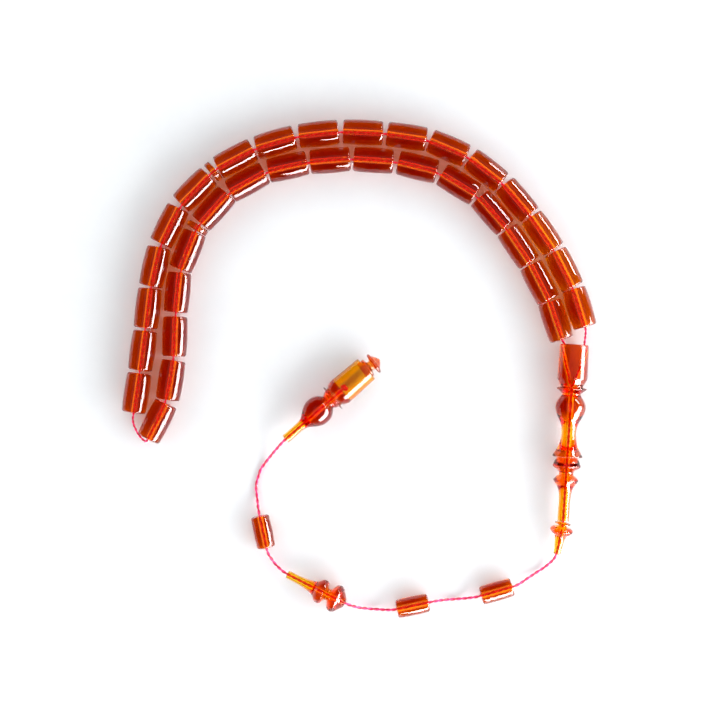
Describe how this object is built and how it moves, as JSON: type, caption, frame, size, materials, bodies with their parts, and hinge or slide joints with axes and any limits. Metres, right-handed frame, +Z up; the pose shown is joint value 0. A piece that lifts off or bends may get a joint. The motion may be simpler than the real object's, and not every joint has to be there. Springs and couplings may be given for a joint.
{
  "type": "misbaha prayer beads",
  "caption": "Prayer bead strand laid in a double arc: clear red barrel beads and discs on a thread loop, a turned head bead, and a twisted cord tail with small beads and a capped finial.",
  "frame": {"origin": "centre of the laid-out object's footprint, on the table it lies on", "axes": "+Z up from the table, +Y towards the top of the double arc, +X towards the imame"},
  "size_m": [0.1422, 0.1497, 0.009],
  "materials": {
    "strand_resin": "clear deep red resin, polished",
    "imame_resin": "clear orange-red resin, polished",
    "cord": "two-ply twisted magenta silk"
  },
  "bodies": {
    "strand_3": {"thread_3": "cord"},
    "strand_2": {"thread_2": "cord"},
    "strand_1": {"thread_1": "cord"},
    "strand_4": {"thread_4": "cord"},
    "imame": {"imame_head": "imame_resin", "imame_thread": "cord"},
    "imame_collar": {"imame_collar": "imame_resin"},
    "imame_tip": {"imame_tip": "imame_resin", "tip_cord": "cord"},
    "tail_upper": {"tail_cord_upper": "cord"},
    "tail_lower": {"tail_cord_lower": "cord", "end_knot": "cord"},
    "tail_spacer": {"tail_spacer": "imame_resin"},
    "tail_bead_1": {"tail_bead_1": "imame_resin"},
    "tail_bead_2": {"tail_bead_2": "imame_resin"},
    "tail_bead_3": {"tail_bead_3": "imame_resin"},
    "finial_body": {"finial_body": "imame_resin"},
    "finial_cap": {"finial_cap": "imame_resin"},
    "bead_01": {"bead_01": "strand_resin"},
    "bead_02": {"bead_02": "strand_resin"},
    "bead_03": {"bead_03": "strand_resin"},
    "bead_04": {"bead_04": "strand_resin"},
    "bead_05": {"bead_05": "strand_resin"},
    "bead_06": {"bead_06": "strand_resin"},
    "bead_07": {"bead_07": "strand_resin"},
    "bead_08": {"bead_08": "strand_resin"},
    "bead_09": {"bead_09": "strand_resin"},
    "bead_10": {"bead_10": "strand_resin"},
    "bead_11": {"bead_11": "strand_resin"},
    "bead_12": {"bead_12": "strand_resin"},
    "bead_13": {"bead_13": "strand_resin"},
    "bead_14": {"bead_14": "strand_resin"},
    "bead_15": {"bead_15": "strand_resin"},
    "bead_16": {"bead_16": "strand_resin"},
    "bead_17": {"bead_17": "strand_resin"},
    "bead_18": {"bead_18": "strand_resin"},
    "bead_19": {"bead_19": "strand_resin"},
    "bead_20": {"bead_20": "strand_resin"},
    "bead_21": {"bead_21": "strand_resin"},
    "bead_22": {"bead_22": "strand_resin"},
    "bead_23": {"bead_23": "strand_resin"},
    "bead_24": {"bead_24": "strand_resin"},
    "bead_25": {"bead_25": "strand_resin"},
    "bead_26": {"bead_26": "strand_resin"},
    "bead_27": {"bead_27": "strand_resin"},
    "bead_28": {"bead_28": "strand_resin"},
    "bead_29": {"bead_29": "strand_resin"},
    "bead_30": {"bead_30": "strand_resin"},
    "bead_31": {"bead_31": "strand_resin"},
    "bead_32": {"bead_32": "strand_resin"},
    "bead_33": {"bead_33": "strand_resin"},
    "separator_1": {"separator_1": "strand_resin"},
    "separator_2": {"separator_2": "strand_resin"}
  },
  "joints": [
    {"name": "strand_bend_1", "type": "hinge", "parent": "strand_2", "child": "strand_1", "pos_m": [0.04785, 0.044, 0.0038], "axis": [0, 0, 1], "range_deg": [-1, 5]},
    {"name": "strand_bend_2", "type": "hinge", "parent": "strand_3", "child": "strand_2", "pos_m": [-0.00385, 0.0672, 0.0038], "axis": [0, 0, 1], "range_deg": [-1, 8]},
    {"name": "strand_bend_3", "type": "hinge", "parent": "strand_3", "child": "strand_4", "pos_m": [-0.042, 0.05565, 0.0038], "axis": [0, 0, 1], "range_deg": [-8, 0]},
    {"name": "imame_swing", "type": "hinge", "parent": "strand_1", "child": "imame", "pos_m": [0.0646, 0.0073, 0.00452], "axis": [0, 0, 1], "range_deg": [-3, 10]},
    {"name": "tip_swing", "type": "hinge", "parent": "imame", "child": "imame_tip", "pos_m": [0.06116, -0.04589, 0.00452], "axis": [0, 0, 1], "range_deg": [-8, 8]},
    {"name": "tail_swing", "type": "hinge", "parent": "imame_tip", "child": "tail_upper", "pos_m": [0.05948, -0.05545, 0.00316], "axis": [0, 0, 1], "range_deg": [-20, 20]},
    {"name": "lower_tail_swing", "type": "hinge", "parent": "tail_upper", "child": "tail_lower", "pos_m": [-0.0215, -0.0618, 0.00235], "axis": [0, 0, 1], "range_deg": [-20, 20]},
    {"name": "finial_cap_pull", "type": "slide", "parent": "finial_body", "child": "finial_cap", "axis": [0.809, 0.5878, 0], "range_m": [0, 0.006]},
    {"name": "bead_17_slide", "type": "slide", "parent": "strand_4", "child": "bead_17", "axis": [-0.148, -0.989, 0], "range_m": [0, 0.0014]},
    {"name": "tail_bead_1_slide", "type": "slide", "parent": "tail_upper", "child": "tail_bead_1", "axis": [-0.9611, -0.2761, 0], "range_m": [-0.001, 0.001]},
    {"name": "tail_bead_2_slide", "type": "slide", "parent": "tail_upper", "child": "tail_bead_2", "axis": [-0.9785, -0.206, 0], "range_m": [-0.001, 0.001]},
    {"name": "tail_bead_3_slide", "type": "slide", "parent": "tail_lower", "child": "tail_bead_3", "axis": [-0.2116, 0.9774, 0], "range_m": [-0.001, 0.001]},
    {"name": "finial_spin", "type": "hinge", "parent": "tail_lower", "child": "finial_body", "pos_m": [-0.022, -0.021, 0.0044], "axis": [0.7547, 0.6561, 0], "continuous": true},
    {"name": "tail_spacer_spin", "type": "hinge", "parent": "tail_upper", "child": "tail_spacer", "pos_m": [-0.0215, -0.0618, 0.00235], "axis": [0.8935, -0.4338, 0.1162], "continuous": true},
    {"name": "imame_collar_spin", "type": "hinge", "parent": "imame", "child": "imame_collar", "pos_m": [0.06241, -0.02653, 0.00452], "axis": [-0.0645, -0.9979, 0], "continuous": true},
    {"name": "bead_01_spin", "type": "hinge", "parent": "strand_1", "child": "bead_01", "pos_m": [0.0661, 0.01835, 0.0038], "axis": [-0.2941, 0.9558, 0], "continuous": true},
    {"name": "bead_02_spin", "type": "hinge", "parent": "strand_1", "child": "bead_02", "pos_m": [0.06145, 0.0299, 0.0038], "axis": [-0.4472, 0.8944, 0], "continuous": true},
    {"name": "bead_03_spin", "type": "hinge", "parent": "strand_1", "child": "bead_03", "pos_m": [0.055, 0.0408, 0.0038], "axis": [-0.5692, 0.8222, 0], "continuous": true},
    {"name": "bead_04_spin", "type": "hinge", "parent": "strand_2", "child": "bead_04", "pos_m": [0.0474, 0.05075, 0.0038], "axis": [-0.6441, 0.7649, 0], "continuous": true},
    {"name": "bead_05_spin", "type": "hinge", "parent": "strand_2", "child": "bead_05", "pos_m": [0.0381, 0.0596, 0.0038], "axis": [-0.791, 0.6119, 0], "continuous": true},
    {"name": "bead_06_spin", "type": "hinge", "parent": "strand_2", "child": "bead_06", "pos_m": [0.0268, 0.06625, 0.0038], "axis": [-0.9203, 0.3911, 0], "continuous": true},
    {"name": "bead_07_spin", "type": "hinge", "parent": "strand_2", "child": "bead_07", "pos_m": [0.0143, 0.06975, 0.0038], "axis": [-0.9895, 0.1446, 0], "continuous": true},
    {"name": "bead_08_spin", "type": "hinge", "parent": "strand_2", "child": "bead_08", "pos_m": [0.0012, 0.071, 0.0038], "axis": [-0.999, 0.0454, 0], "continuous": true},
    {"name": "bead_09_spin", "type": "hinge", "parent": "strand_3", "child": "bead_09", "pos_m": [-0.0121, 0.07055, 0.0038], "axis": [-0.9938, -0.1112, 0], "continuous": true},
    {"name": "bead_10_spin", "type": "hinge", "parent": "strand_3", "child": "bead_10", "pos_m": [-0.02505, 0.068, 0.0038], "axis": [-0.9609, -0.2768, 0], "continuous": true},
    {"name": "bead_11_spin", "type": "hinge", "parent": "strand_3", "child": "bead_11", "pos_m": [-0.03705, 0.06315, 0.0038], "axis": [-0.8834, -0.4686, 0], "continuous": true},
    {"name": "separator_1_spin", "type": "hinge", "parent": "strand_3", "child": "separator_1", "pos_m": [-0.04375, 0.05925, 0.0038], "axis": [-0.7452, -0.6668, 0], "continuous": true},
    {"name": "bead_12_spin", "type": "hinge", "parent": "strand_4", "child": "bead_12", "pos_m": [-0.04925, 0.0538, 0.0038], "axis": [-0.7032, -0.711, 0], "continuous": true},
    {"name": "bead_13_spin", "type": "hinge", "parent": "strand_4", "child": "bead_13", "pos_m": [-0.05685, 0.043, 0.0038], "axis": [-0.4414, -0.8973, 0], "continuous": true},
    {"name": "bead_14_spin", "type": "hinge", "parent": "strand_4", "child": "bead_14", "pos_m": [-0.06125, 0.03065, 0.0038], "axis": [-0.2144, -0.9767, 0], "continuous": true},
    {"name": "bead_15_spin", "type": "hinge", "parent": "strand_4", "child": "bead_15", "pos_m": [-0.06335, 0.0182, 0.0038], "axis": [-0.1182, -0.993, 0], "continuous": true},
    {"name": "bead_16_spin", "type": "hinge", "parent": "strand_4", "child": "bead_16", "pos_m": [-0.06495, 0.00555, 0.0038], "axis": [-0.1327, -0.9912, 0], "continuous": true},
    {"name": "bead_18_spin", "type": "hinge", "parent": "strand_4", "child": "bead_18", "pos_m": [-0.06055, -0.0156, 0.0038], "axis": [0.4533, 0.8913, 0], "continuous": true},
    {"name": "bead_19_spin", "type": "hinge", "parent": "strand_4", "child": "bead_19", "pos_m": [-0.05655, -0.0033, 0.0038], "axis": [0.1595, 0.9872, 0], "continuous": true},
    {"name": "bead_20_spin", "type": "hinge", "parent": "strand_4", "child": "bead_20", "pos_m": [-0.0553, 0.00975, 0.0038], "axis": [0.0305, 0.9995, 0], "continuous": true},
    {"name": "bead_21_spin", "type": "hinge", "parent": "strand_4", "child": "bead_21", "pos_m": [-0.05445, 0.02295, 0.0038], "axis": [0.0973, 0.9953, 0], "continuous": true},
    {"name": "bead_22_spin", "type": "hinge", "parent": "strand_4", "child": "bead_22", "pos_m": [-0.05145, 0.03545, 0.0038], "axis": [0.3728, 0.9279, 0], "continuous": true},
    {"name": "separator_2_spin", "type": "hinge", "parent": "strand_4", "child": "separator_2", "pos_m": [-0.04845, 0.04235, 0.0038], "axis": [0.5264, 0.8503, 0], "continuous": true},
    {"name": "bead_23_spin", "type": "hinge", "parent": "strand_4", "child": "bead_23", "pos_m": [-0.04355, 0.04815, 0.0038], "axis": [0.6668, 0.7452, 0], "continuous": true},
    {"name": "bead_24_spin", "type": "hinge", "parent": "strand_3", "child": "bead_24", "pos_m": [-0.0335, 0.0561, 0.0038], "axis": [0.8756, 0.4831, 0], "continuous": true},
    {"name": "bead_25_spin", "type": "hinge", "parent": "strand_3", "child": "bead_25", "pos_m": [-0.02135, 0.0607, 0.0038], "axis": [0.9765, 0.2153, 0], "continuous": true},
    {"name": "bead_26_spin", "type": "hinge", "parent": "strand_3", "child": "bead_26", "pos_m": [-0.00865, 0.0626, 0.0038], "axis": [0.9969, 0.0785, 0], "continuous": true},
    {"name": "bead_27_spin", "type": "hinge", "parent": "strand_2", "child": "bead_27", "pos_m": [0.00435, 0.06265, 0.0038], "axis": [0.9977, -0.0675, 0], "continuous": true},
    {"name": "bead_28_spin", "type": "hinge", "parent": "strand_2", "child": "bead_28", "pos_m": [0.01755, 0.0606, 0.0038], "axis": [0.9714, -0.2373, 0], "continuous": true},
    {"name": "bead_29_spin", "type": "hinge", "parent": "strand_2", "child": "bead_29", "pos_m": [0.02995, 0.0554, 0.0038], "axis": [0.8517, -0.5241, 0], "continuous": true},
    {"name": "bead_30_spin", "type": "hinge", "parent": "strand_2", "child": "bead_30", "pos_m": [0.04005, 0.0469, 0.0038], "axis": [0.6552, -0.7554, 0], "continuous": true},
    {"name": "bead_31_spin", "type": "hinge", "parent": "strand_1", "child": "bead_31", "pos_m": [0.0478, 0.0368, 0.0038], "axis": [0.5584, -0.8296, 0], "continuous": true},
    {"name": "bead_32_spin", "type": "hinge", "parent": "strand_1", "child": "bead_32", "pos_m": [0.0542, 0.02595, 0.0038], "axis": [0.4566, -0.8897, 0], "continuous": true},
    {"name": "bead_33_spin", "type": "hinge", "parent": "strand_1", "child": "bead_33", "pos_m": [0.059, 0.0145, 0.0038], "axis": [0.3113, -0.9503, 0], "continuous": true}
  ]
}
